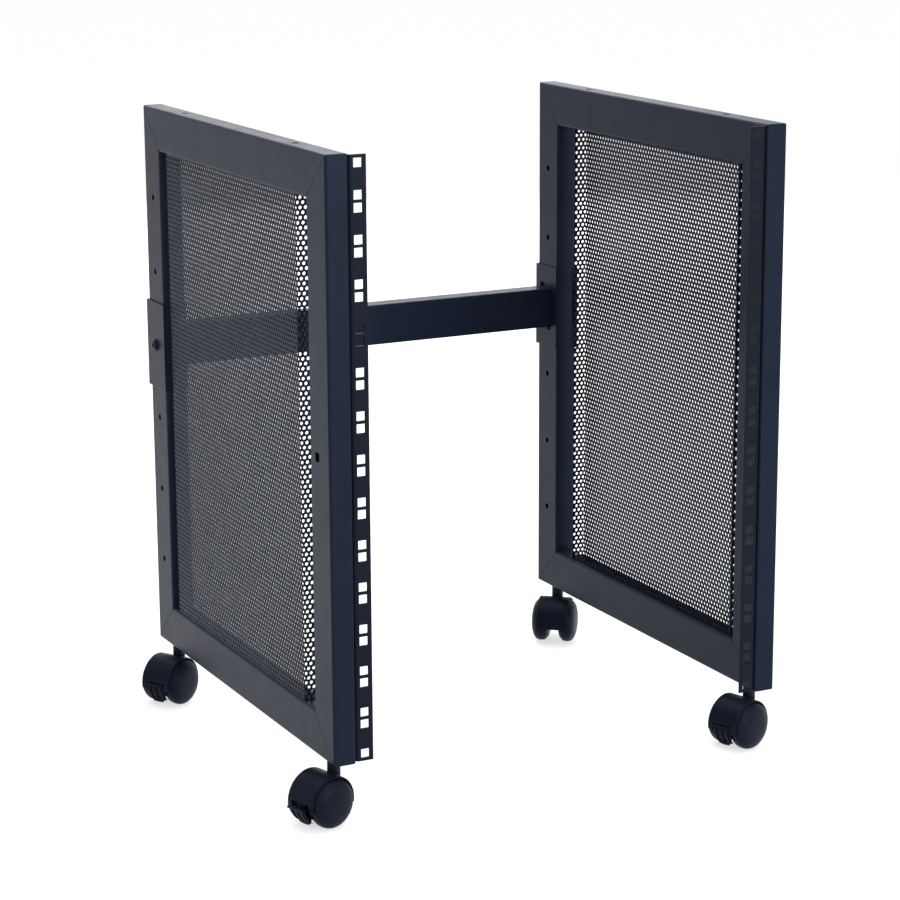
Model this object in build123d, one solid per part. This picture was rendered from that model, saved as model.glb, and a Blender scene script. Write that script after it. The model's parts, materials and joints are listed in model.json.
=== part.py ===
from build123d import *
import os
from math import cos, radians, sin

# Open equipment rack: two mitred side panels, 19 inch rails, one rear crossbar, four twin-wheel casters.
# Millimetres. Origin on the floor, midway between the panels and midway along their depth.
# +X is the user's right, -Y is the front with the rails, +Z is up.

# Side panels, made of flat rectangular tube with mitred corners
panel_height = 629.0
panel_depth = 500.0
panel_gap = 486.0
tube_width = 48.0
tube_thickness = 25.0
tube_wall = 1.5
tube_corner = 3.0
panel_corner = 3.0

# Perforated insert: a shallow tray held by the top and bottom tubes
sheet_thickness = 1.2
tray_depth = 15.0
tray_recess = 0.6
tray_side_gap = 28.0
tray_bend = 2.0
tray_openings_across = 8
tray_openings_up = 12
tray_opening_share = 0.7
tray_rim = 6.0

# Holes in the panels
top_hole_spacing = 300.0
top_hole_diameter = 8.0
post_hole_pitch = 85.0
post_hole_count = 6
post_hole_diameter = 7.0
access_hole = 9.5
access_hole_inset = 30.0

# Rails to the 19 inch pattern
rack_unit = 44.45
rail_end_clearance = 1.55
rail_thickness = 2.0
rail_bend = 4.0
rail_opening = 446.8
rail_leg = 25.0
rail_setback = 1.0
rail_hole = 9.5
rail_hole_line = 465.1
rail_hole_edge = 6.35

# Crossbar and the plates that clamp it to the rear posts
bracket_height = 100.0
bracket_plate = 2.0
bracket_lip = 3.0
bracket_lip_gap = 0.5
bracket_hole_index = 3
crossbar_height = 48.0
crossbar_depth = 25.0
crossbar_wall = 1.5
crossbar_corner = 2.0

# Casters: stem and wheels
caster_height = 68.0
caster_inset = 30.0
stem_diameter = 14.0
stem_collar = 14.0
stem_pin_diameter = 8.0
stem_pin_up = 14.0
stem_pin_down = 24.0
stem_pin_room = 1.0
stem_hole_clearance = 0.2
running_clearance = 0.05
caster_trail = 18.0
wheel_radius = 26.5
wheel_inner_gap = 14.4
wheel_face_radius = 19.6
wheel_shoulder_radius = 25.7
wheel_shoulder = 4.3
wheel_tread = 4.5
wheel_dome = 12.0
wheel_dome_rings = 3
axle_diameter = 6.0
axle_end_cover = 4.0

# Casters: moulded hood
hood_gap = 0.9
hood_thickness = 1.8
hood_half_width = 20.0
hood_chamfer = 1.2
hood_web = 12.0
hood_hub_radius = 12.0
hood_front_angle = 190.0
hood_rear_angle = -10.0

# Casters: brake pedal, hinged under the hood's trailing edge
lever_pivot_x = 40.0
lever_pivot_z = 9.0
lever_pin_diameter = 3.0
lever_width = 24.0
lever_thickness = 2.2
lever_skirt_thickness = 1.0
lever_wheel_gap = 1.2
lever_low_angle = -38.0
lever_high_angle = 5.0
lever_lip_height = 0.8
lever_lip_angle = 4.0
lever_rib_width = 2.4
lever_rib_spacing = 8.0
lever_lug_radius = 3.2
lever_lug_width = 2.8
lever_notch_clearance = 0.6
lever_notch_angle = 7.5
lever_swing = 18.0
tongue_width = 6.0
tongue_eye_radius = 3.5
tongue_clearance = 0.4

# Rest directions of the casters, in degrees from +X towards +Y
caster_angles = {
    "front_left": 197.0,
    "rear_left": 211.0,
    "front_right": 197.0,
    "rear_right": 231.0,
}
pressed_brakes = ("rear_left", "front_right")
released_brakes = ("front_left",)

# Places worked out from the sizes
panel_bottom = caster_height
panel_top = panel_bottom + panel_height
panel_middle = panel_bottom + panel_height / 2
panel_inner = panel_gap / 2
panel_outer = panel_inner + tube_thickness
panel_centre = panel_inner + tube_thickness / 2
front_face = -panel_depth / 2
rear_face = panel_depth / 2
window_half_depth = panel_depth / 2 - tube_width
window_bottom = panel_bottom + tube_width
window_top = panel_top - tube_width
post_centre = rear_face - tube_width / 2
clamp_z = panel_middle + post_hole_pitch * (bracket_hole_index - post_hole_count / 2 + 0.5)
rail_length = panel_height - 2 * rail_end_clearance
rail_bottom = panel_middle - rail_length / 2
rail_units = int(rail_length / rack_unit)
lower_unit_edge = panel_middle - rail_units * rack_unit / 2
hood_inner_radius = wheel_radius + hood_gap
hood_outer_radius = hood_inner_radius + hood_thickness
hood_top = caster_height - stem_collar
wheel_crown = wheel_inner_gap / 2 + wheel_shoulder + wheel_tread
wheel_outer = wheel_crown + wheel_dome
lever_inner_radius = wheel_radius + lever_wheel_gap
lever_outer_radius = lever_inner_radius + lever_thickness
past = 10.0


def block(low, high):
    """Box from its lowest corner to its highest corner."""
    size = [b - a for a, b in zip(low, high)]
    centre = [(a + b) / 2 for a, b in zip(low, high)]
    return Pos(*centre) * Box(*size)


def rod(radius, start, end):
    """Round bar between two points."""
    path = Vector(*end) - Vector(*start)
    plane = Plane(origin=Vector(*start), z_dir=path)
    return extrude(plane * Circle(radius), amount=path.length)


def along_y(points, low, high):
    """Prism of an outline in X and Z, between two values of Y."""
    outline = Plane.XZ.offset(-high) * make_face(Polyline(*points, close=True))
    return extrude(outline, amount=high - low)


def mitred_tube(length, z_low):
    """Hollow tube along Y at z_low, cut at 45 degrees so that its upper edge is the short one."""
    profile = RectangleRounded(tube_thickness, tube_width, tube_corner)
    profile -= RectangleRounded(
        tube_thickness - 2 * tube_wall, tube_width - 2 * tube_wall, tube_corner - tube_wall
    )
    start = Plane.XZ.offset(length / 2)
    tube = Pos(0, 0, z_low + tube_width / 2) * extrude(start * profile, amount=-length)
    long_edge = length / 2
    short_edge = long_edge - tube_width
    wedge = Plane.YZ * make_face(
        Polyline(
            (-long_edge, z_low),
            (long_edge, z_low),
            (short_edge, z_low + tube_width),
            (-short_edge, z_low + tube_width),
            close=True,
        )
    )
    return tube & extrude(wedge, amount=tube_thickness, both=True)


def frame_members():
    """Four mitred tubes of a side panel, centred on X = 0, with the panel's outer corners rounded."""
    middle = Pos(0, 0, panel_middle)
    lying = mitred_tube(panel_depth, -panel_height / 2)
    standing = mitred_tube(panel_height, -panel_depth / 2)
    members = {
        "bottom_tube": lying,
        "top_tube": Rot(180, 0, 0) * lying,
        "front_post": Rot(-90, 0, 0) * standing,
        "rear_post": Rot(90, 0, 0) * standing,
    }
    outline = Plane.YZ * RectangleRounded(panel_depth, panel_height, panel_corner)
    limits = extrude(outline, amount=tube_thickness, both=True)
    return {name: middle * (member & limits) for name, member in members.items()}


def drill_top(tube):
    """Round fixing holes through the upper wall of the top tube."""
    for side in (-1, 1):
        y = side * top_hole_spacing / 2
        tube -= rod(top_hole_diameter / 2, (0, y, panel_top - tube_width / 2), (0, y, panel_top + past))
    return tube


def drill_rear_post(post):
    """Row of round holes through both faces of the rear post."""
    for index in range(post_hole_count):
        z = panel_middle + post_hole_pitch * (index - (post_hole_count - 1) / 2)
        start = (-tube_thickness, post_centre, z)
        post -= rod(post_hole_diameter / 2, start, (tube_thickness, post_centre, z))
    return post


def cut_access_hole(post, outward):
    """Square hole in the outer face of the front post, level with a rail hole."""
    y = front_face + access_hole_inset
    z = lower_unit_edge + rack_unit * rail_units / 2 + rail_hole_edge
    half = access_hole / 2
    low_x, high_x = sorted((0, outward * tube_thickness))
    return post - block((low_x, y - half, z - half), (high_x, y + half, z + half))


def drill_bottom(tube):
    """Clearance holes for the caster stems in the lower wall of the bottom tube."""
    for side in (-1, 1):
        y = side * (panel_depth / 2 - caster_inset)
        radius = stem_pin_diameter / 2 + stem_hole_clearance
        tube -= rod(radius, (0, y, panel_bottom - past), (0, y, panel_bottom + tube_width / 2))
    return tube


def rounded_block(low, high, outward, radius):
    """Box with the edges of its outer face rounded."""
    body = block(low, high)
    face = body.faces().sort_by(Axis.X)[-1 if outward > 0 else 0]
    return fillet(face.edges(), radius)


def tray(outward):
    """Sheet tray with its web at the outer side and its four flanges turned inwards."""
    half_depth = window_half_depth - tray_side_gap
    web_x = outward * (tube_thickness / 2 - tray_recess)
    low_x, high_x = sorted((web_x, web_x - outward * tray_depth))
    body = rounded_block((low_x, -half_depth, window_bottom), (high_x, half_depth, window_top), outward, tray_bend)
    inner_web_x = web_x - outward * sheet_thickness
    low_x, high_x = sorted((inner_web_x, web_x - outward * (tray_depth + past)))
    inner = rounded_block(
        (low_x, -half_depth + sheet_thickness, window_bottom + sheet_thickness),
        (high_x, half_depth - sheet_thickness, window_top - sheet_thickness),
        outward,
        tray_bend - sheet_thickness,
    )
    return body - inner - tray_openings(web_x)


def tray_openings(web_x):
    """Plain grid of openings through the tray's web, in place of its fine round holes."""
    room_y = 2 * (window_half_depth - tray_side_gap - tray_rim)
    room_z = window_top - window_bottom - 2 * tray_rim
    pitch_y = room_y / tray_openings_across
    pitch_z = room_z / tray_openings_up
    cutter = Box(tray_depth, pitch_y * tray_opening_share, pitch_z * tray_opening_share)
    cutters = []
    for across in range(tray_openings_across):
        for up in range(tray_openings_up):
            y = (across - (tray_openings_across - 1) / 2) * pitch_y
            z = panel_middle + (up - (tray_openings_up - 1) / 2) * pitch_z
            cutters.append(Pos(web_x, y, z) * cutter)
    return cutters


def rail(outward):
    """Angle rail with its holed flange across the front and its leg along the post."""
    inner_x = rail_opening / 2
    flange_y = front_face + rail_setback
    corner_x = panel_inner
    leg_end = flange_y + rail_leg
    points = [
        (inner_x, flange_y),
        (corner_x, flange_y),
        (corner_x, leg_end),
        (corner_x - rail_thickness, leg_end),
        (corner_x - rail_thickness, flange_y + rail_thickness),
        (inner_x, flange_y + rail_thickness),
    ]
    outline = Plane.XY.offset(rail_bottom) * make_face(Polyline(*points, close=True))
    angle = extrude(outline, amount=rail_length)
    uprights = angle.edges().filter_by(Axis.Z)
    outside = uprights.sort_by_distance((corner_x, flange_y, rail_bottom))[0]
    inside_corner = (corner_x - rail_thickness, flange_y + rail_thickness, rail_bottom)
    angle = fillet(outside, rail_bend)
    inside = angle.edges().filter_by(Axis.Z).sort_by_distance(inside_corner)[0]
    angle = fillet(inside, rail_bend - rail_thickness)
    half = rail_hole / 2
    hole_x = rail_hole_line / 2
    for z in rail_hole_heights():
        angle -= block((hole_x - half, flange_y - past, z - half), (hole_x + half, flange_y + past, z + half))
    return angle if outward > 0 else mirror(angle, Plane.YZ)


def rail_hole_heights():
    """Two holes near the ends of each rack unit, from the bottom up."""
    heights = []
    for unit in range(rail_units):
        low = lower_unit_edge + unit * rack_unit
        heights.append(low + rail_hole_edge)
        heights.append(low + rack_unit - rail_hole_edge)
    return heights


def bracket():
    """Plate bent round the right rear post, with a short lip in front of the post on its outer side."""
    low_z = clamp_z - bracket_height / 2
    inner_x = panel_inner - bracket_plate
    outer_x = panel_outer + bracket_plate
    back_y = rear_face + bracket_plate
    post_front = rear_face - tube_width
    lip_back = post_front - bracket_lip_gap
    lip_front = lip_back - bracket_plate
    points = [
        (inner_x, lip_back),
        (panel_inner, lip_back),
        (panel_inner, rear_face),
        (panel_outer, rear_face),
        (panel_outer, lip_back),
        (panel_outer - bracket_lip, lip_back),
        (panel_outer - bracket_lip, lip_front),
        (outer_x, lip_front),
        (outer_x, back_y),
        (inner_x, back_y),
    ]
    outline = Plane.XY.offset(low_z) * make_face(Polyline(*points, close=True))
    plate = extrude(outline, amount=bracket_height)
    hole = rod(
        post_hole_diameter / 2,
        (panel_inner - past, post_centre, clamp_z),
        (panel_outer + past, post_centre, clamp_z),
    )
    return plate - hole


def crossbar():
    """Rectangular tube between the two brackets, on the centre line of the rear posts."""
    length = panel_gap - 2 * bracket_plate
    profile = RectangleRounded(crossbar_depth, crossbar_height, crossbar_corner)
    profile -= RectangleRounded(
        crossbar_depth - 2 * crossbar_wall, crossbar_height - 2 * crossbar_wall, crossbar_corner - crossbar_wall
    )
    bar = extrude(Plane.YZ.offset(-length / 2) * profile, amount=length)
    return Pos(0, post_centre, clamp_z) * bar


def sector(inner, outer, low_angle, high_angle, half_width):
    """Curved plate round the axle between two radii and two angles."""
    x, z = caster_trail, wheel_radius
    reach = 2 * outer
    middle = radians((low_angle + high_angle) / 2)
    wedge = [(x, z)]
    for angle in (radians(low_angle), middle, radians(high_angle)):
        wedge.append((x + reach * cos(angle), z + reach * sin(angle)))
    plate = rod(outer, (x, -half_width, z), (x, half_width, z)) & along_y(wedge, -half_width, half_width)
    return plate - rod(inner, (x, -half_width, z), (x, half_width, z))


def caster_stem():
    """Collar under the panel, with a pin up into the tube and a pin down into the hood."""
    stem = rod(stem_diameter / 2, (0, 0, hood_top), (0, 0, caster_height))
    stem += rod(stem_pin_diameter / 2, (0, 0, hood_top - stem_pin_down), (0, 0, caster_height + stem_pin_up))
    return stem


def hood_body():
    """Arch over both wheels with chamfered rims, a web between them, a hub and a boss for the stem."""
    x, z = caster_trail, wheel_radius
    chamfer_side = hood_half_width - hood_chamfer
    chamfer_radius = hood_outer_radius - hood_chamfer
    section = [
        (0, -hood_half_width),
        (chamfer_radius, -hood_half_width),
        (hood_outer_radius, -chamfer_side),
        (hood_outer_radius, chamfer_side),
        (chamfer_radius, hood_half_width),
        (0, hood_half_width),
    ]
    drum = Pos(x, 0, z) * revolve(Plane.XY * make_face(Polyline(*section, close=True)), axis=Axis.Y)
    reach = 2 * hood_outer_radius
    front = radians(hood_front_angle)
    rear = radians(hood_rear_angle)
    open_part = [
        (x, z),
        (x + reach * cos(front), z + reach * sin(front)),
        (x, z - reach),
        (x + reach * cos(rear), z + reach * sin(rear)),
    ]
    half_web = hood_web / 2
    body = drum - along_y(open_part, -hood_half_width - past, hood_half_width + past)
    body += rod(hood_hub_radius, (x, -half_web, z), (x, half_web, z))
    body += rod(stem_diameter / 2, (0, 0, hood_top - stem_pin_down), (0, 0, hood_top))
    return body


def tongue():
    """Bar from the hub to the eye that carries the brake pedal."""
    half = tongue_width / 2
    run = Vector(lever_pivot_x - caster_trail, 0, lever_pivot_z - wheel_radius)
    across = run.normalized().cross(Vector(0, 1, 0)) * tongue_eye_radius
    corners = []
    for base, turn in ((Vector(0, 0, 0), 1), (run, 1), (run, -1), (Vector(0, 0, 0), -1)):
        corner = Vector(caster_trail, 0, wheel_radius) + base + across * turn
        corners.append((corner.X, corner.Z))
    eye = rod(tongue_eye_radius, (lever_pivot_x, -half, lever_pivot_z), (lever_pivot_x, half, lever_pivot_z))
    return along_y(corners, -half, half) + eye


def caster_hood(braked):
    """Moulded hood, bored for the stem and the axle, with a notch and a hinge eye where it has a brake."""
    x, z = caster_trail, wheel_radius
    half_web = hood_web / 2
    hood = hood_body()
    if braked:
        hood += tongue()
    for side in (-1, 1):
        room_end = side * (hood_half_width + past)
        hood -= rod(hood_inner_radius, (x, side * half_web, z), (x, room_end, z))
    bore_bottom = hood_top - stem_pin_down - stem_pin_room
    hood -= rod(stem_pin_diameter / 2 + running_clearance, (0, 0, bore_bottom), (0, 0, hood_top + past))
    hood -= rod(axle_diameter / 2 + running_clearance, (x, -half_web - past, z), (x, half_web + past, z))
    if braked:
        hood -= sector(
            lever_inner_radius - lever_notch_clearance,
            hood_outer_radius + past,
            hood_rear_angle - lever_notch_angle,
            lever_notch_angle,
            lever_width / 2 + lever_notch_clearance,
        ) - tongue()
        pin = lever_pin_diameter / 2 + running_clearance
        half = tongue_width / 2 + past
        hood -= rod(pin, (lever_pivot_x, -half, lever_pivot_z), (lever_pivot_x, half, lever_pivot_z))
    return hood


def caster_wheel():
    """One wheel on the +Y side: flat inner face, shoulder, tread and a domed outer face turned in rings."""
    inner_y = wheel_inner_gap / 2
    points = [
        (axle_diameter / 2, inner_y),
        (wheel_face_radius, inner_y),
        (wheel_shoulder_radius, inner_y + wheel_shoulder),
    ]
    for ring in range(wheel_dome_rings + 1):
        turn = radians(90 * ring / wheel_dome_rings)
        points.append((wheel_radius * cos(turn), wheel_crown + wheel_dome * sin(turn)))
    points[-1] = (0, wheel_outer)
    points.append((0, wheel_outer - axle_end_cover))
    points.append((axle_diameter / 2, wheel_outer - axle_end_cover))
    outline = Plane.XY * make_face(Polyline(*points, close=True))
    disc = revolve(outline, axis=Axis.Y)
    return Pos(caster_trail, 0, wheel_radius) * disc


def caster_wheels():
    """Both wheels of one caster."""
    wheel = caster_wheel()
    return Compound(children=[wheel, mirror(wheel, Plane.XZ)])


def caster_axle():
    """Steel pin through the hood's web, with an end in each wheel."""
    half = wheel_outer - axle_end_cover
    return rod(axle_diameter / 2, (caster_trail, -half, wheel_radius), (caster_trail, half, wheel_radius))


def caster_lever():
    """Brake pedal: a curved plate with a lip and ribs, and two lugs on a pin through the hood's eye."""
    half = lever_width / 2
    lip_start = lever_high_angle - lever_lip_angle
    lip_radius = lever_outer_radius + lever_lip_height
    skirt_radius = lever_inner_radius + lever_skirt_thickness
    pedal = sector(lever_inner_radius, skirt_radius, lever_low_angle, lever_high_angle, half)
    pedal += sector(lever_inner_radius, lip_radius, lip_start, lever_high_angle, half)
    rib = sector(lever_inner_radius, lever_outer_radius, lever_low_angle, lip_start, lever_rib_width / 2)
    for place in (-1, 0, 1):
        pedal += Pos(0, place * lever_rib_spacing, 0) * rib
    lug_inner = tongue_width / 2 + tongue_clearance
    lug_outer = lug_inner + lever_lug_width
    for side in (-1, 1):
        pedal += rod(
            lever_lug_radius,
            (lever_pivot_x, side * lug_inner, lever_pivot_z),
            (lever_pivot_x, side * lug_outer, lever_pivot_z),
        )
    room = tongue_eye_radius + tongue_clearance
    pedal -= rod(room, (lever_pivot_x, -lug_inner, lever_pivot_z), (lever_pivot_x, lug_inner, lever_pivot_z))
    pin_radius = lever_pin_diameter / 2
    pedal += rod(pin_radius, (lever_pivot_x, -lug_outer, lever_pivot_z), (lever_pivot_x, lug_outer, lever_pivot_z))
    return pedal


def released(lever):
    """Brake pedal swung outwards, clear of the wheels."""
    pivot = Pos(lever_pivot_x, 0, lever_pivot_z)
    return pivot * Rot(0, lever_swing, 0) * pivot.inverse() * lever


def build():
    """Every node of the rack by name."""
    nodes = {}
    for side, outward in (("left", -1), ("right", 1)):
        place = Pos(outward * panel_centre, 0, 0)
        members = frame_members()
        members["top_tube"] = drill_top(members["top_tube"])
        members["bottom_tube"] = drill_bottom(members["bottom_tube"])
        members["rear_post"] = drill_rear_post(members["rear_post"])
        members["front_post"] = cut_access_hole(members["front_post"], outward)
        for name, member in members.items():
            nodes[f"{side}_{name}"] = place * member
        nodes[f"{side}_perforated_sheet"] = place * tray(outward)
        nodes[f"{side}_rack_rail"] = rail(outward)
        clamp = bracket()
        nodes[f"{side}_crossbar_bracket"] = clamp if outward > 0 else mirror(clamp, Plane.YZ)
    nodes["rear_crossbar"] = crossbar()
    for corner, angle in caster_angles.items():
        end, side = corner.split("_")
        x = panel_centre if side == "right" else -panel_centre
        y = (panel_depth / 2 - caster_inset) * (1 if end == "rear" else -1)
        place = Pos(x, y, 0) * Rot(0, 0, angle)
        nodes[f"{corner}_caster_stem"] = place * caster_stem()
        braked = corner in pressed_brakes + released_brakes
        nodes[f"{corner}_caster_hood"] = place * caster_hood(braked)
        nodes[f"{corner}_caster_wheels"] = place * caster_wheels()
        nodes[f"{corner}_caster_axle"] = place * caster_axle()
        if corner in pressed_brakes:
            nodes[f"{corner}_brake_lever"] = place * caster_lever()
        elif corner in released_brakes:
            nodes[f"{corner}_brake_lever"] = place * released(caster_lever())
    return nodes


os.makedirs("parts", exist_ok=True)
for node_name, shape in build().items():
    export_step(shape, f"parts/{node_name}.step")
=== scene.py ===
import itertools
import json
import math

import bmesh
import bpy
from mathutils import Matrix, Vector


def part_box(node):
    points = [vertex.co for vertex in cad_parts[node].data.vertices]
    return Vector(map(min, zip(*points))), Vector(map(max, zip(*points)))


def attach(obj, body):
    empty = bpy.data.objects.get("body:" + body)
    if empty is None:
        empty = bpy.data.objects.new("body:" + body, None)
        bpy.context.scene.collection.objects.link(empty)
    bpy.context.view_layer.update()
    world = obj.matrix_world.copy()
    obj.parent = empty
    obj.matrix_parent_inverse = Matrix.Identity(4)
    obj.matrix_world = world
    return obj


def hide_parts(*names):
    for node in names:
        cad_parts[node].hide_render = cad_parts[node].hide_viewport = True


# Looks of the open equipment rack. Metres, in the CAD frame.
MM = 0.001
OUTWARD = {"left": -1, "right": 1}

# Softened edges of the CAD nodes, and points that a piece joins
WELD_DISTANCE = 0.01 * MM
EDGE_WIDTH = 0.35 * MM
EDGE_SEGMENTS = 2
EDGE_ANGLE = 35
MERGE_DISTANCE = 0.002 * MM

# Grain of the coatings: scale of the noise, and depth
PAINT_GRAIN = 1500
PAINT_GRAIN_DEPTH = 0.05 * MM
PLASTIC_GRAIN = 2200
HOOD_GRAIN_DEPTH = 0.04 * MM
WHEEL_GRAIN_DEPTH = 0.03 * MM
ZINC_GRAIN = 2600
ZINC_GRAIN_DEPTH = 0.03 * MM
GRAIN_DETAIL = 2.0
GRAIN_STRENGTH = 0.5

# Slower changes over a coating: colour, gloss and a faint ripple
NOISE_RANGE = (0.3, 0.7)
DRIFT_SCALE = 14
SMUDGE_SCALE = 38
SMUDGE_DETAIL = 5.0
SMUDGE_ROUGHNESS = 0.65
SMUDGE_SPREAD = (-0.035, 0.045)
RIPPLE_RATIO = 9
RIPPLE_DETAIL = 1.0
RIPPLE_DEPTH = 1.6
RIPPLE_STRENGTH = 0.35
COAT_ROUGHNESS = 0.22

# Perforated sheet
SHEET_THICKNESS = 1.2 * MM
SHEET_BEND = 2.0 * MM
SHEET_RECESS = 2.5 * MM
SHEET_DEPTH = 17 * MM
WIDE_GAP = 30 * MM
NARROW_GAP = 13 * MM
HOLE_RADIUS = 2.0 * MM
HOLE_SIDES = 8
HOLE_PITCH = 5.95 * MM
ROW_PITCH = HOLE_PITCH * math.cos(math.radians(30))
LEDGE_SLOTS = 5
LEDGE_SLOT_LENGTH = 34 * MM
LEDGE_SLOT_WIDTH = 5 * MM

# Low weld seams at the mitres, painted nearly black as the shade of the mitre grooves
SEAM_WIDTH = 0.7 * MM
SEAM_HEIGHT = 0.12 * MM
SEAM_INSET = 3 * MM
SEAM_FACES = ((0, 4, 5, 3), (1, 2, 5, 4), (0, 1, 4), (2, 3, 5), (0, 3, 2, 1))

# Bolt through each bracket and the rear post
BOLT_HEAD_RADIUS = 6.2 * MM
BOLT_HEAD_RIM = 0.8 * MM
BOLT_HEAD_HEIGHT = 3.4 * MM
BOLT_SOCKET_RADIUS = 2.3 * MM
BOLT_SOCKET_DEPTH = 1.8 * MM
BOLT_SOCKET_TIP = 0.5 * MM
BOLT_CROWN_STEPS = 8
WASHER_RADIUS = 7.2 * MM
WASHER_HEIGHT = 0.9 * MM
WASHER_EDGE = 0.3 * MM
BOLT_SMOOTH_ANGLE = 40

# Tabs of the crossbar's end plates: centre along the depth, and whether above or below the bar
TABS = ((11.5 * MM, 1), (-5.5 * MM, -1))
TAB_WIDTH = 3.5 * MM
TAB_HEIGHT = 7 * MM
TAB_OVERLAP = 2.5 * MM
TAB_THICKNESS = 2.5 * MM
BOX_FACES = ((0, 1, 3, 2), (4, 6, 7, 5), (0, 4, 5, 1), (2, 3, 7, 6), (0, 2, 6, 4), (1, 5, 7, 3))

# Caster wheels. The inner profile is in millimetres: radius, and distance from the caster's middle
WHEEL_RADIUS = 26.5 * MM
WHEEL_CROWN_SIDE = 16 * MM
WHEEL_DOME = 12 * MM
WHEEL_DOME_STEPS = 30
WHEEL_INNER_PROFILE = [(0, 7.2), (19.6, 7.2), (21.8, 7.8), (23.4, 9.2), (25.7, 11.5), (26.3, 13.6)]
WHEEL_DOME_POWER = 2.7
GROOVE_RADII = (21.4 * MM, 22.4 * MM)
GROOVE_DEPTH = 0.35 * MM
WHEEL_SMOOTH_ANGLE = 35
TURN_STEPS = 72

# Tint of the reflections on paint and plastic
REFLECTION_TINT = (0.58, 0.76, 1.0)

# Pale background, and the darker one that only bounced light meets
BACKGROUND_WHITE = 0.985
FLOOR_SHADE = (0.6, 0.6, 0.6)
FLOOR_GLOW = 0.62
BOUNCE_FLOOR = (0.15, 0.18, 0.225)
BOUNCE_WORLD = 0.62
FLOOR_SIZE = 80

# Lamps: name, place, size, power and colour. Reflections don't show the unseen one
LAMP_AIM = (0, 0, 0.35)
UNSEEN_LAMP = "unseen_back"
LAMPS = (
    ("overhead", (0.2, 0.3, 2.6), 2.4, 42, (1, 1, 1)),
    ("back", (1.2, 3.6, 1.5), 2.6, 20, (1, 1, 1)),
    (UNSEEN_LAMP, (1.2, 3.5, 1.5), 2.6, 40, (1, 1, 1)),
    ("left_front", (-2.4, -1.2, 1.4), 1.6, 8, (0.93, 0.96, 1.0)),
    ("front", (0.9, -3.2, 1.1), 1.8, 50, (0.86, 0.92, 1.0)),
)

# Camera, fitted to the photograph's frame of 900 x 900 pixels
FOCAL_PIXELS = 2661.7
FRAME_PIXELS = 900
SENSOR_WIDTH = 36.0
CAMERA_PLACE = (-1.3221, -2.5983, 1.0283)
CAMERA_AZIMUTH = 0.4685
CAMERA_PITCH = 0.2388
CAMERA_ROLL = 0.0051
CAMERA_REACH = 200

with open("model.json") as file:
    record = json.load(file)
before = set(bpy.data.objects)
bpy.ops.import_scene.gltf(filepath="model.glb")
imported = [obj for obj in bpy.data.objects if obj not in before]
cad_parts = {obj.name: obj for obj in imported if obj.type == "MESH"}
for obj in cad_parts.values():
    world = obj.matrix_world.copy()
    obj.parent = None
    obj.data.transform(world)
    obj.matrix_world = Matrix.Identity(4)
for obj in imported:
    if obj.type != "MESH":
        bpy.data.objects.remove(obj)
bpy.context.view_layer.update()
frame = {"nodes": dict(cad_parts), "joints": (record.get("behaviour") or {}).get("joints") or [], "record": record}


# Node materials
def new_material(name):
    """Empty node material with its output."""
    material = bpy.data.materials.new(name)
    material.use_nodes = True
    tree = material.node_tree
    tree.nodes.clear()
    output = tree.nodes.new("ShaderNodeOutputMaterial")
    return material, tree, output


def link(tree, source, target):
    """Joins two sockets."""
    tree.links.new(source, target)


def noise(tree, coordinates, scale, detail=3.0, roughness=0.5):
    """Noise texture in object space."""
    node = tree.nodes.new("ShaderNodeTexNoise")
    node.inputs["Scale"].default_value = scale
    node.inputs["Detail"].default_value = detail
    node.inputs["Roughness"].default_value = roughness
    link(tree, coordinates, node.inputs["Vector"])
    return node.outputs["Fac"]


def spread(tree, value, low, high):
    """Value from 0 to 1 spread between two numbers."""
    node = tree.nodes.new("ShaderNodeMapRange")
    node.inputs["From Min"].default_value = NOISE_RANGE[0]
    node.inputs["From Max"].default_value = NOISE_RANGE[1]
    node.inputs["To Min"].default_value = low
    node.inputs["To Max"].default_value = high
    link(tree, value, node.inputs["Value"])
    return node.outputs["Result"]


def two_colours(tree, value, first, second):
    """Colour between two colours."""
    node = tree.nodes.new("ShaderNodeMix")
    node.data_type = "RGBA"
    node.inputs["A"].default_value = (*first, 1)
    node.inputs["B"].default_value = (*second, 1)
    link(tree, value, node.inputs["Factor"])
    return node.outputs["Result"]


def bump(tree, height, distance, strength, normal=None):
    """Bump from a height between 0 and 1."""
    node = tree.nodes.new("ShaderNodeBump")
    node.inputs["Distance"].default_value = distance
    node.inputs["Strength"].default_value = strength
    link(tree, height, node.inputs["Height"])
    if normal is not None:
        link(tree, normal, node.inputs["Normal"])
    return node.outputs["Normal"]


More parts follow.
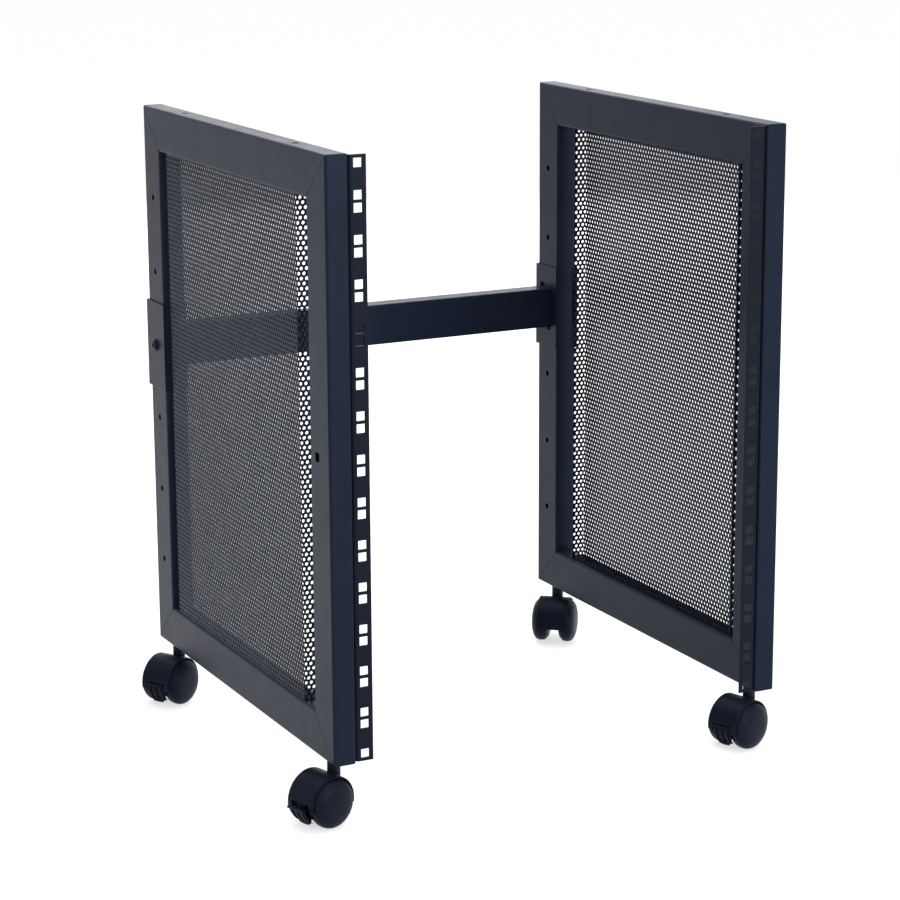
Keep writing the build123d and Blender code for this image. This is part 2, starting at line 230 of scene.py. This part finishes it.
def coating(name, dark, light, rough, grain_scale, grain_depth, specular, coat=0):
    """Satin paint or moulded plastic: faint colour drift, a fine grain and slightly uneven gloss."""
    material, tree, output = new_material(name)
    coordinates = tree.nodes.new("ShaderNodeTexCoord").outputs["Object"]
    shader = tree.nodes.new("ShaderNodeBsdfPrincipled")
    drift = spread(tree, noise(tree, coordinates, DRIFT_SCALE), 0, 1)
    grain = noise(tree, coordinates, grain_scale, GRAIN_DETAIL)
    ripple = noise(tree, coordinates, grain_scale / RIPPLE_RATIO, RIPPLE_DETAIL)
    smudge = noise(tree, coordinates, SMUDGE_SCALE, SMUDGE_DETAIL, SMUDGE_ROUGHNESS)
    gloss = spread(tree, smudge, rough + SMUDGE_SPREAD[0], rough + SMUDGE_SPREAD[1])
    wavy = bump(tree, ripple, grain_depth * RIPPLE_DEPTH, RIPPLE_STRENGTH)
    link(tree, two_colours(tree, drift, dark, light), shader.inputs["Base Color"])
    link(tree, gloss, shader.inputs["Roughness"])
    link(tree, bump(tree, grain, grain_depth, GRAIN_STRENGTH, wavy), shader.inputs["Normal"])
    shader.inputs["Specular IOR Level"].default_value = specular
    shader.inputs["Specular Tint"].default_value = (*REFLECTION_TINT, 1)
    shader.inputs["Coat Tint"].default_value = (*REFLECTION_TINT, 1)
    shader.inputs["Coat Weight"].default_value = coat
    shader.inputs["Coat Roughness"].default_value = COAT_ROUGHNESS
    link(tree, shader.outputs["BSDF"], output.inputs["Surface"])
    return material


def frame_paint():
    """Blue-black powder coat of the tubes."""
    return coating(
        "frame_powder_coat", (0.0105, 0.0142, 0.0280), (0.0135, 0.0180, 0.0350), rough=0.36,
        grain_scale=PAINT_GRAIN, grain_depth=PAINT_GRAIN_DEPTH, specular=0.11, coat=0.02,
    )


def sheet_paint():
    """Powder coat of the perforated sheets, a little duller."""
    return coating(
        "sheet_powder_coat", (0.0095, 0.0125, 0.0235), (0.0125, 0.0160, 0.0290), rough=0.40,
        grain_scale=PAINT_GRAIN, grain_depth=PAINT_GRAIN_DEPTH, specular=0.12, coat=0.01,
    )


def rail_paint():
    """Darker powder coat of the rails, brackets and crossbar tabs."""
    return coating(
        "rail_powder_coat", (0.0060, 0.0072, 0.0125), (0.0080, 0.0096, 0.0160), rough=0.42,
        grain_scale=PAINT_GRAIN, grain_depth=PAINT_GRAIN_DEPTH, specular=0.12,
    )


def hood_plastic():
    """Moulded nylon of the hoods and pedals."""
    return coating(
        "hood_nylon", (0.0042, 0.0055, 0.0125), (0.0062, 0.0080, 0.0170), rough=0.44,
        grain_scale=PLASTIC_GRAIN, grain_depth=HOOD_GRAIN_DEPTH, specular=0.10,
    )


def wheel_plastic():
    """Smoother nylon of the wheels."""
    return coating(
        "wheel_nylon", (0.0050, 0.0064, 0.0135), (0.0070, 0.0088, 0.0180), rough=0.40,
        grain_scale=PLASTIC_GRAIN, grain_depth=WHEEL_GRAIN_DEPTH, specular=0.12,
    )


def dark_steel():
    """Black zinc of bolts, stems and axles."""
    return coating(
        "dark_zinc", (0.0060, 0.0072, 0.0120), (0.0095, 0.0110, 0.0170), rough=0.38,
        grain_scale=ZINC_GRAIN, grain_depth=ZINC_GRAIN_DEPTH, specular=0.22,
    )


def painted_shade_coat():
    """Nearly black, dull coat of the ledges and the mitre seams: painted shade of the shadowed ledges and of the
    mitre grooves, a darker copy of the powder coat.
    """
    return coating(
        "ledge_seam_painted_shade", (0.0030, 0.0040, 0.0075), (0.0042, 0.0055, 0.0100), rough=0.60,
        grain_scale=PAINT_GRAIN, grain_depth=PAINT_GRAIN_DEPTH, specular=0.06,
    )


SLOT_MATERIALS = {
    "frame_paint": frame_paint(),
    "sheet_paint": sheet_paint(),
    "rail_paint": rail_paint(),
    "hood_plastic": hood_plastic(),
    "wheel_plastic": wheel_plastic(),
    "zinc_steel": dark_steel(),
}
# Painted shade: a nearly black coat for the shadowed ledges and the mitre grooves
SHADOW_PAINT = painted_shade_coat()


def soften_edges(node):
    """Welded corners and softly rounded edges."""
    weld = node.modifiers.new("weld", "WELD")
    weld.merge_threshold = WELD_DISTANCE
    soften = node.modifiers.new("soften", "BEVEL")
    soften.width = EDGE_WIDTH
    soften.segments = EDGE_SEGMENTS
    soften.limit_method = "ANGLE"
    soften.angle_limit = math.radians(EDGE_ANGLE)
    node.data.shade_smooth()
    even = node.modifiers.new("even", "WEIGHTED_NORMAL")
    even.keep_sharp = True


def dress_nodes():
    """Gives every CAD node its material, and all but the rear posts with their row of holes soft edges."""
    slots = {part["node"]: part["material_slot"] for part in frame["record"]["subparts"]}
    for name, node in frame["nodes"].items():
        node.data.materials.clear()
        node.data.materials.append(SLOT_MATERIALS[slots[name]])
        for polygon in node.data.polygons:
            polygon.material_index = 0
        if not name.endswith("rear_post"):
            soften_edges(node)


class Builder:
    """Collects vertices and faces, and makes one piece of them."""

    def __init__(self):
        self.points = []
        self.faces = []

    def add(self, points):
        start = len(self.points)
        self.points.extend(points)
        return start

    def piece(self, name, body, slot, smooth_angle=None, material=None):
        mesh = bpy.data.meshes.new(name)
        mesh.from_pydata(self.points, [], self.faces)
        work = bmesh.new()
        work.from_mesh(mesh)
        bmesh.ops.remove_doubles(work, verts=work.verts, dist=MERGE_DISTANCE)
        bmesh.ops.recalc_face_normals(work, faces=work.faces)
        work.to_mesh(mesh)
        work.free()
        mesh.update()
        mesh.materials.append(material or SLOT_MATERIALS[slot])
        if smooth_angle is not None:
            mesh.shade_smooth()
            mesh.set_sharp_from_angle(angle=math.radians(smooth_angle))
        made = bpy.data.objects.new(name, mesh)
        bpy.context.scene.collection.objects.link(made)
        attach(made, body)
        return made


# Perforated sheet
def ring_bridge(outer, inner):
    """Triangles between an outer and an inner closed ring of points, both counter-clockwise."""
    def angle(point):
        return math.atan2(point[1], point[0]) % (2 * math.pi)

    outer_order = sorted(range(len(outer)), key=lambda i: angle(outer[i]))
    inner_order = sorted(range(len(inner)), key=lambda i: angle(inner[i]))
    triangles = []
    i = j = 0
    while i < len(outer) or j < len(inner):
        a = outer_order[i % len(outer)]
        b = inner_order[j % len(inner)]
        next_outer = angle(outer[outer_order[(i + 1) % len(outer)]]) + 2 * math.pi * ((i + 1) // len(outer))
        next_inner = angle(inner[inner_order[(j + 1) % len(inner)]]) + 2 * math.pi * ((j + 1) // len(inner))
        if j >= len(inner) or (i < len(outer) and next_outer <= next_inner):
            triangles.append((("o", a), ("o", outer_order[(i + 1) % len(outer)]), ("i", b)))
            i += 1
        else:
            triangles.append((("o", a), ("i", inner_order[(j + 1) % len(inner)]), ("i", b)))
            j += 1
    return triangles


def hole_ring():
    """Corners of one hole round its centre."""
    turns = [2 * math.pi * (k + 0.5) / HOLE_SIDES for k in range(HOLE_SIDES)]
    return [(HOLE_RADIUS * math.cos(turn), HOLE_RADIUS * math.sin(turn)) for turn in turns]


HALF_PITCH = HOLE_PITCH / 2
CELL_OUTER = [
    (-HALF_PITCH, -ROW_PITCH / 2), (0, -ROW_PITCH / 2), (HALF_PITCH, -ROW_PITCH / 2),
    (HALF_PITCH, ROW_PITCH / 2), (0, ROW_PITCH / 2), (-HALF_PITCH, ROW_PITCH / 2),
]
CELL_HOLE = hole_ring()
CELL_TRIANGLES = ring_bridge(CELL_OUTER, CELL_HOLE)

# Corners of a plain and of a holed cell, as steps up and along from its first one
PLAIN_CORNERS = ((0, 0), (0, 1), (1, 1), (1, 0))
HOLED_CORNERS = ((0, 0), (0, 1), (0, 2), (1, 2), (1, 1), (1, 0))


def grid_lines(length, count, step):
    """Both ends of a plate and the lines of its holes' cells, centred between them."""
    margin = (length - count * step) / 2
    return [0.0] + [margin + k * step for k in range(count + 1)] + [length]


def holed_cell(builder, place, centre, corners):
    """Cell with a hole through it. corners holds the numbers of its six points on each face."""
    rings = []
    for level, depth in enumerate((0.0, SHEET_THICKNESS)):
        ring = builder.add([place(centre[0] + u, centre[1] + v, depth) for u, v in CELL_HOLE])
        rings.append(ring)
        for triangle in CELL_TRIANGLES:
            builder.faces.append([corners[level][k] if kind == "o" else ring + k for kind, k in triangle])
    for k in range(HOLE_SIDES):
        after = (k + 1) % HOLE_SIDES
        builder.faces.append([rings[0] + k, rings[0] + after, rings[1] + after, rings[1] + k])


def perforated(builder, place, width, height, first_row, last_row):
    """Plate between two faces with staggered holes. place(u, v, depth) gives a point in space."""
    columns = int(width / HALF_PITCH)
    rows = int(height / ROW_PITCH)
    u_lines = grid_lines(width, columns, HALF_PITCH)
    v_lines = grid_lines(height, rows, ROW_PITCH)
    count = len(u_lines)
    last_line = count - 1
    starts = []
    for depth in (0.0, SHEET_THICKNESS):
        starts.append(builder.add([place(u, v, depth) for v in v_lines for u in u_lines]))

    def corner(level, row, column):
        return starts[level] + row * count + column

    for row in range(first_row, last_row):
        border_row = row in (0, rows + 1)
        first = 1 + row % 2
        column = 0
        while column < last_line:
            holed = not border_row and first <= column and column + 2 < last_line
            steps = HOLED_CORNERS if holed else PLAIN_CORNERS
            corners = [[corner(level, row + up, column + along) for up, along in steps] for level in (0, 1)]
            if holed:
                centre = (u_lines[column + 1], (v_lines[row] + v_lines[row + 1]) / 2)
                holed_cell(builder, place, centre, corners)
                column += 2
            else:
                builder.faces.extend(corners)
                column += 1
    return u_lines, v_lines


def slotted(builder, place, width, height):
    """Plate between two faces with a row of rectangular slots along its middle."""
    pitch = width / LEDGE_SLOTS
    u_lines = [0.0]
    for slot in range(LEDGE_SLOTS):
        centre = (slot + 0.5) * pitch
        u_lines += [centre - LEDGE_SLOT_LENGTH / 2, centre + LEDGE_SLOT_LENGTH / 2]
    u_lines.append(width)
    v_lines = [0.0, (height - LEDGE_SLOT_WIDTH) / 2, (height + LEDGE_SLOT_WIDTH) / 2, height]
    for column, (u_low, u_high) in enumerate(zip(u_lines, u_lines[1:])):
        for row, (v_low, v_high) in enumerate(zip(v_lines, v_lines[1:])):
            corners = [(u_low, v_low), (u_high, v_low), (u_high, v_high), (u_low, v_high)]
            if column % 2 == 1 and row == 1:
                for (u, v), (next_u, next_v) in zip(corners, corners[1:] + corners[:1]):
                    start = builder.add([
                        place(u, v, 0), place(next_u, next_v, 0),
                        place(next_u, next_v, SHEET_THICKNESS), place(u, v, SHEET_THICKNESS),
                    ])
                    builder.faces.append([start, start + 1, start + 2, start + 3])
                continue
            for depth in (0.0, SHEET_THICKNESS):
                start = builder.add([place(u, v, depth) for u, v in corners])
                builder.faces.append([start, start + 1, start + 2, start + 3])
    return u_lines, v_lines


def rim(builder, place, lines, along_u, at):
    """Narrow edge face of a plate along one of its sides."""
    for low, high in zip(lines, lines[1:]):
        ends = [(low, at), (high, at)] if along_u else [(at, low), (at, high)]
        near = [place(u, v, 0) for u, v in ends]
        far = [place(u, v, SHEET_THICKNESS) for u, v in reversed(ends)]
        start = builder.add(near + far)
        builder.faces.append([start, start + 1, start + 2, start + 3])


def tray_place(side):
    """Front, rear and bottom of a tray, its height, and the outer face of its web."""
    low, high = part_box(f"{side}_perforated_sheet")
    front_low, front_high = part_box(f"{side}_front_post")
    rear_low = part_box(f"{side}_rear_post")[0]
    front_gap, rear_gap = (WIDE_GAP, NARROW_GAP) if side == "left" else (NARROW_GAP, WIDE_GAP)
    face_x = front_low.x if side == "left" else front_high.x
    web_x = face_x - OUTWARD[side] * SHEET_RECESS
    return front_high.y + front_gap, rear_low.y - rear_gap, low.z, high.z - low.z, web_x


def bent_sheet(side):
    """Web with its front and rear flanges, one bent plate in three pieces over its height."""
    front_y, rear_y, bottom, height, web_x = tray_place(side)
    flat_depth = SHEET_DEPTH - SHEET_BEND
    arc = SHEET_BEND * math.pi / 2
    spread_width = rear_y - front_y - 2 * SHEET_BEND + 2 * (flat_depth + arc)

    def on_sheet(u, v, depth):
        mirrored = u > spread_width / 2
        distance = spread_width - u if mirrored else u
        if distance < flat_depth:
            inset, across = SHEET_DEPTH - distance, depth
        elif distance < flat_depth + arc:
            turn = (distance - flat_depth) / SHEET_BEND
            radius = SHEET_BEND - depth
            inset = SHEET_BEND - radius * math.sin(turn)
            across = SHEET_BEND - radius * math.cos(turn)
        else:
            inset, across = depth, SHEET_BEND + distance - flat_depth - arc
        y = rear_y - across if mirrored else front_y + across
        return (web_x - OUTWARD[side] * inset, y, bottom + v)

    rows = int(height / ROW_PITCH) + 2
    third = rows // 3
    pieces = []
    for label, first, last in (("lower", 0, third), ("middle", third, 2 * third), ("upper", 2 * third, rows)):
        builder = Builder()
        u_lines, v_lines = perforated(builder, on_sheet, spread_width, height, first, last)
        for at in (0, spread_width):
            rim(builder, on_sheet, v_lines[first:last + 1], False, at)
        if first == 0:
            rim(builder, on_sheet, u_lines, True, 0)
        if last == rows:
            rim(builder, on_sheet, u_lines, True, height)
        pieces.append(builder.piece(f"{side}_sheet_{label}", "rack", "sheet_paint"))
    return pieces


def slotted_ledges(side):
    """Slotted plates along the bottom and the top of a tray."""
    front_y, rear_y, bottom, height, web_x = tray_place(side)
    ledge_width = rear_y - front_y - 2 * SHEET_BEND
    ledge_depth = SHEET_DEPTH - SHEET_THICKNESS
    builder = Builder()
    for edge_z, inward in ((bottom, 1), (bottom + height, -1)):

        def on_ledge(u, v, depth, edge_z=edge_z, inward=inward):
            x = web_x - OUTWARD[side] * (SHEET_THICKNESS + v)
            return (x, front_y + SHEET_BEND + u, edge_z + inward * depth)

        u_lines, v_lines = slotted(builder, on_ledge, ledge_width, ledge_depth)
        for at in (0, ledge_depth):
            rim(builder, on_ledge, u_lines, True, at)
        for at in (0, ledge_width):
            rim(builder, on_ledge, v_lines, False, at)
    # The ledges get the painted shade in place of the sheet's own coat
    return builder.piece(f"{side}_sheet_ledges", "rack", "sheet_paint", material=SHADOW_PAINT)


def perforated_tray(side):
    """Tray of perforated sheet, in place of the one with the plain grid."""
    for piece in [*bent_sheet(side), slotted_ledges(side)]:
        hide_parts(f"{side}_perforated_sheet")


def seam(builder, start, outward, inward_y, inward_z, width):
    """Low ridge along one mitre, from the corner of a panel inwards."""
    along = Vector((0, inward_y, inward_z)) * width
    across = Vector((0, inward_y, -inward_z)).normalized() * SEAM_WIDTH / 2
    lift = Vector((outward * SEAM_HEIGHT, 0, 0))
    base = [start - across, start + across, start + along + across, start + along - across]
    ridge = [start + lift, start + along + lift]
    first = builder.add([tuple(point) for point in base + ridge])
    for face in SEAM_FACES:
        builder.faces.append([first + k for k in face])


def mitre_seam_shades(side):
    """Thin seam across each mitre, on both faces of a panel, painted nearly black as painted shade of the mitre
    groove.
    """
    front_low, front_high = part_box(f"{side}_front_post")
    rear_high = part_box(f"{side}_rear_post")[1]
    width = front_high.y - front_low.y - SEAM_INSET
    faces = ((front_low.x, -1), (front_high.x, 1))
    ends = ((front_low.y + SEAM_INSET, 1), (rear_high.y - SEAM_INSET, -1))
    levels = ((front_low.z + SEAM_INSET, 1), (front_high.z - SEAM_INSET, -1))
    builder = Builder()
    for (x, outward), (y, inward_y), (z, inward_z) in itertools.product(faces, ends, levels):
        seam(builder, Vector((x, y, z)), outward, inward_y, inward_z, width)
    # The seams get the painted shade of the mitre grooves
    builder.piece(f"{side}_mitre_seam_shades", "rack", "frame_paint", material=SHADOW_PAINT)


# Turned pieces
def turned(builder, profile, origin, axis):
    """Surface of revolution. profile holds (radius, distance along the axis) pairs."""
    axis = Vector(axis).normalized()
    side = axis.orthogonal().normalized()
    other = axis.cross(side)
    origin = Vector(origin)
    start = len(builder.points)
    for radius, along in profile:
        for k in range(TURN_STEPS):
            turn = 2 * math.pi * k / TURN_STEPS
            builder.points.append(tuple(
                origin + axis * along + (side * math.cos(turn) + other * math.sin(turn)) * radius
            ))
    for ring in range(len(profile) - 1):
        for k in range(TURN_STEPS):
            after = (k + 1) % TURN_STEPS
            a = start + ring * TURN_STEPS
            b = a + TURN_STEPS
            builder.faces.append([a + k, a + after, b + after, b + k])
    for ring in (0, len(profile) - 1):
        if profile[ring][0] > 0:
            first = start + ring * TURN_STEPS
            builder.faces.append([first + k for k in range(TURN_STEPS)])


def bracket_bolt(side):
    """Button-head bolt with a round socket, on a washer at the bracket's outer face."""
    outward = OUTWARD[side]
    low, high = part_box(f"{side}_crossbar_bracket")
    bar_low, bar_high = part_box("rear_crossbar")
    face_x = low.x if outward < 0 else high.x
    centre = (face_x, (bar_low.y + bar_high.y) / 2, (bar_low.z + bar_high.z) / 2)
    builder = Builder()
    washer = [
        (0, 0),
        (WASHER_RADIUS, 0),
        (WASHER_RADIUS, WASHER_HEIGHT - WASHER_EDGE),
        (WASHER_RADIUS - WASHER_EDGE, WASHER_HEIGHT),
        (0, WASHER_HEIGHT),
    ]
    turned(builder, washer, centre, (outward, 0, 0))
    head = [(0, WASHER_HEIGHT), (BOLT_HEAD_RADIUS, WASHER_HEIGHT)]
    rim_z = WASHER_HEIGHT + BOLT_HEAD_RIM
    for step in range(BOLT_CROWN_STEPS + 1):
        turn = math.radians(90 * step / BOLT_CROWN_STEPS)
        head.append((
            BOLT_SOCKET_RADIUS + (BOLT_HEAD_RADIUS - BOLT_SOCKET_RADIUS) * math.cos(turn),
            rim_z + (BOLT_HEAD_HEIGHT - BOLT_HEAD_RIM) * math.sin(turn),
        ))
    floor_z = WASHER_HEIGHT + BOLT_HEAD_HEIGHT - BOLT_SOCKET_DEPTH
    head += [(BOLT_SOCKET_RADIUS, floor_z), (0, floor_z - BOLT_SOCKET_TIP)]
    turned(builder, head, centre, (outward, 0, 0))
    builder.piece(f"{side}_bracket_bolt", "rack", "zinc_steel", smooth_angle=BOLT_SMOOTH_ANGLE)


def bar_tabs(side):
    """Two small tabs above and below the crossbar, against the bracket's inner plate."""
    bar_low, bar_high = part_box("rear_crossbar")
    middle_y = (bar_low.y + bar_high.y) / 2
    end_x, inward = (bar_low.x, 1) if side == "left" else (bar_high.x, -1)
    builder = Builder()
    for offset, direction in TABS:
        edge_z = bar_high.z if direction > 0 else bar_low.z
        x_pair = (end_x, end_x + inward * TAB_THICKNESS)
        y_pair = (middle_y + offset - TAB_WIDTH / 2, middle_y + offset + TAB_WIDTH / 2)
        z_pair = (edge_z - direction * TAB_OVERLAP, edge_z + direction * (TAB_HEIGHT - TAB_OVERLAP))
        start = builder.add([(x, y, z) for x in x_pair for y in y_pair for z in z_pair])
        for face in BOX_FACES:
            builder.faces.append([start + k for k in face])
    builder.piece(f"{side}_bar_tabs", "rack", "rail_paint")


def wheel_profile():
    """Half section of one wheel: inner face, shoulder, tread, round rim and a domed, grooved outer face."""
    profile = [(radius * MM, side * MM) for radius, side in WHEEL_INNER_PROFILE]
    for step in range(WHEEL_DOME_STEPS + 1):
        turn = math.radians(90 * step / WHEEL_DOME_STEPS)
        radius = WHEEL_RADIUS * math.cos(turn) ** (2 / WHEEL_DOME_POWER)
        side = WHEEL_CROWN_SIDE + WHEEL_DOME * math.sin(turn) ** (2 / WHEEL_DOME_POWER)
        if step == WHEEL_DOME_STEPS:
            radius = 0
        if GROOVE_RADII[0] <= radius <= GROOVE_RADII[1]:
            side -= GROOVE_DEPTH
        profile.append((radius, side))
    return profile


def caster_wheels(corner):
    """Both domed wheels of a caster, in place of the plain ones."""
    joints = {joint["name"]: joint for joint in frame["joints"]}
    roll = joints[f"{corner}_roll"]
    centre = Vector(roll["pos_m"])
    axis = Vector(roll["axis"])
    builder = Builder()
    for direction in (-1, 1):
        turned(builder, wheel_profile(), centre, axis * direction)
    body = f"{corner}_wheel_pair"
    piece = builder.piece(f"{corner}_domed_wheels", body, "wheel_plastic", smooth_angle=WHEEL_SMOOTH_ANGLE)
    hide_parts(f"{corner}_caster_wheels")


# Stage, lights and camera
def seen_rays(tree):
    """1 for camera, glossy and transmission rays, so that metal and glass show the background too."""
    path = tree.nodes.new("ShaderNodeLightPath")
    seen = path.outputs["Is Camera Ray"]
    for kind in ("Is Glossy Ray", "Is Transmission Ray"):
        either = tree.nodes.new("ShaderNodeMath")
        either.operation = "MAXIMUM"
        link(tree, seen, either.inputs[0])
        link(tree, path.outputs[kind], either.inputs[1])
        seen = either.outputs["Value"]
    return seen


def pale_floor():
    """White floor that keeps a soft shadow of the rack. Light that bounces off it is dimmer and bluer."""
    material, tree, output = new_material("floor")
    shade = tree.nodes.new("ShaderNodeBsdfDiffuse")
    shade.inputs["Color"].default_value = (*FLOOR_SHADE, 1)
    glow = tree.nodes.new("ShaderNodeEmission")
    glow.inputs["Color"].default_value = (1, 1, 1, 1)
    glow.inputs["Strength"].default_value = FLOOR_GLOW
    both = tree.nodes.new("ShaderNodeAddShader")
    link(tree, shade.outputs["BSDF"], both.inputs[0])
    link(tree, glow.outputs["Emission"], both.inputs[1])
    unseen = tree.nodes.new("ShaderNodeBsdfDiffuse")
    unseen.inputs["Color"].default_value = (*BOUNCE_FLOOR, 1)
    mix = tree.nodes.new("ShaderNodeMixShader")
    link(tree, seen_rays(tree), mix.inputs["Fac"])
    link(tree, unseen.outputs["BSDF"], mix.inputs[1])
    link(tree, both.outputs["Shader"], mix.inputs[2])
    link(tree, mix.outputs["Shader"], output.inputs["Surface"])
    bpy.ops.mesh.primitive_plane_add(size=FLOOR_SIZE, location=(0, 0, 0))
    floor = bpy.context.object
    floor.name = "floor"
    floor.data.materials.append(material)


def pale_world():
    """Even soft light, white where the camera or a reflection sees it."""
    world = bpy.data.worlds.new("studio")
    bpy.context.scene.world = world
    world.use_nodes = True
    tree = world.node_tree
    tree.nodes.clear()
    output = tree.nodes.new("ShaderNodeOutputWorld")
    background = tree.nodes.new("ShaderNodeBackground")
    strength = tree.nodes.new("ShaderNodeMapRange")
    strength.inputs["To Min"].default_value = BOUNCE_WORLD
    strength.inputs["To Max"].default_value = BACKGROUND_WHITE
    link(tree, seen_rays(tree), strength.inputs["Value"])
    link(tree, strength.outputs["Result"], background.inputs["Strength"])
    background.inputs["Color"].default_value = (1, 1, 1, 1)
    link(tree, background.outputs["Background"], output.inputs["Surface"])


def area_light(name, place, size, power, colour):
    """Soft square lamp aimed at the middle of the rack."""
    data = bpy.data.lights.new(name, "AREA")
    data.shape = "SQUARE"
    data.size = size
    data.energy = power
    data.color = colour
    lamp = bpy.data.objects.new(name, data)
    lamp.location = place
    direction = Vector(LAMP_AIM) - Vector(place)
    lamp.rotation_euler = direction.to_track_quat("-Z", "Y").to_euler()
    bpy.context.scene.collection.objects.link(lamp)
    return lamp


def studio_lights():
    """Large soft lamps over and behind the rack, and two at the front."""
    for name, place, size, power, colour in LAMPS:
        lamp = area_light(name, place, size, power, colour)
        lamp.visible_glossy = name != UNSEEN_LAMP


def photo_camera():
    """Camera at the photograph's place, with its lens."""
    forward = Vector((
        math.sin(CAMERA_AZIMUTH) * math.cos(CAMERA_PITCH),
        math.cos(CAMERA_AZIMUTH) * math.cos(CAMERA_PITCH),
        -math.sin(CAMERA_PITCH),
    ))
    level = Vector((math.cos(CAMERA_AZIMUTH), -math.sin(CAMERA_AZIMUTH), 0))
    down = forward.cross(level)
    across = level * math.cos(CAMERA_ROLL) + down * math.sin(CAMERA_ROLL)
    up = level * math.sin(CAMERA_ROLL) - down * math.cos(CAMERA_ROLL)
    data = bpy.data.cameras.new("camera")
    data.sensor_fit = "HORIZONTAL"
    data.sensor_width = SENSOR_WIDTH
    data.lens = FOCAL_PIXELS / FRAME_PIXELS * SENSOR_WIDTH
    data.clip_end = CAMERA_REACH
    camera = bpy.data.objects.new("camera", data)
    turn = Matrix((across, up, -forward)).transposed().to_4x4()
    camera.matrix_world = Matrix.Translation(Vector(CAMERA_PLACE)) @ turn
    bpy.context.scene.collection.objects.link(camera)
    bpy.context.scene.camera = camera


dress_nodes()
for panel_side in ("left", "right"):
    perforated_tray(panel_side)
    mitre_seam_shades(panel_side)
    bracket_bolt(panel_side)
    bar_tabs(panel_side)
for caster_corner in ("front_left", "rear_left", "front_right", "rear_right"):
    caster_wheels(caster_corner)
pale_floor()
pale_world()
studio_lights()
photo_camera()
bpy.context.scene.view_settings.view_transform = "Standard"
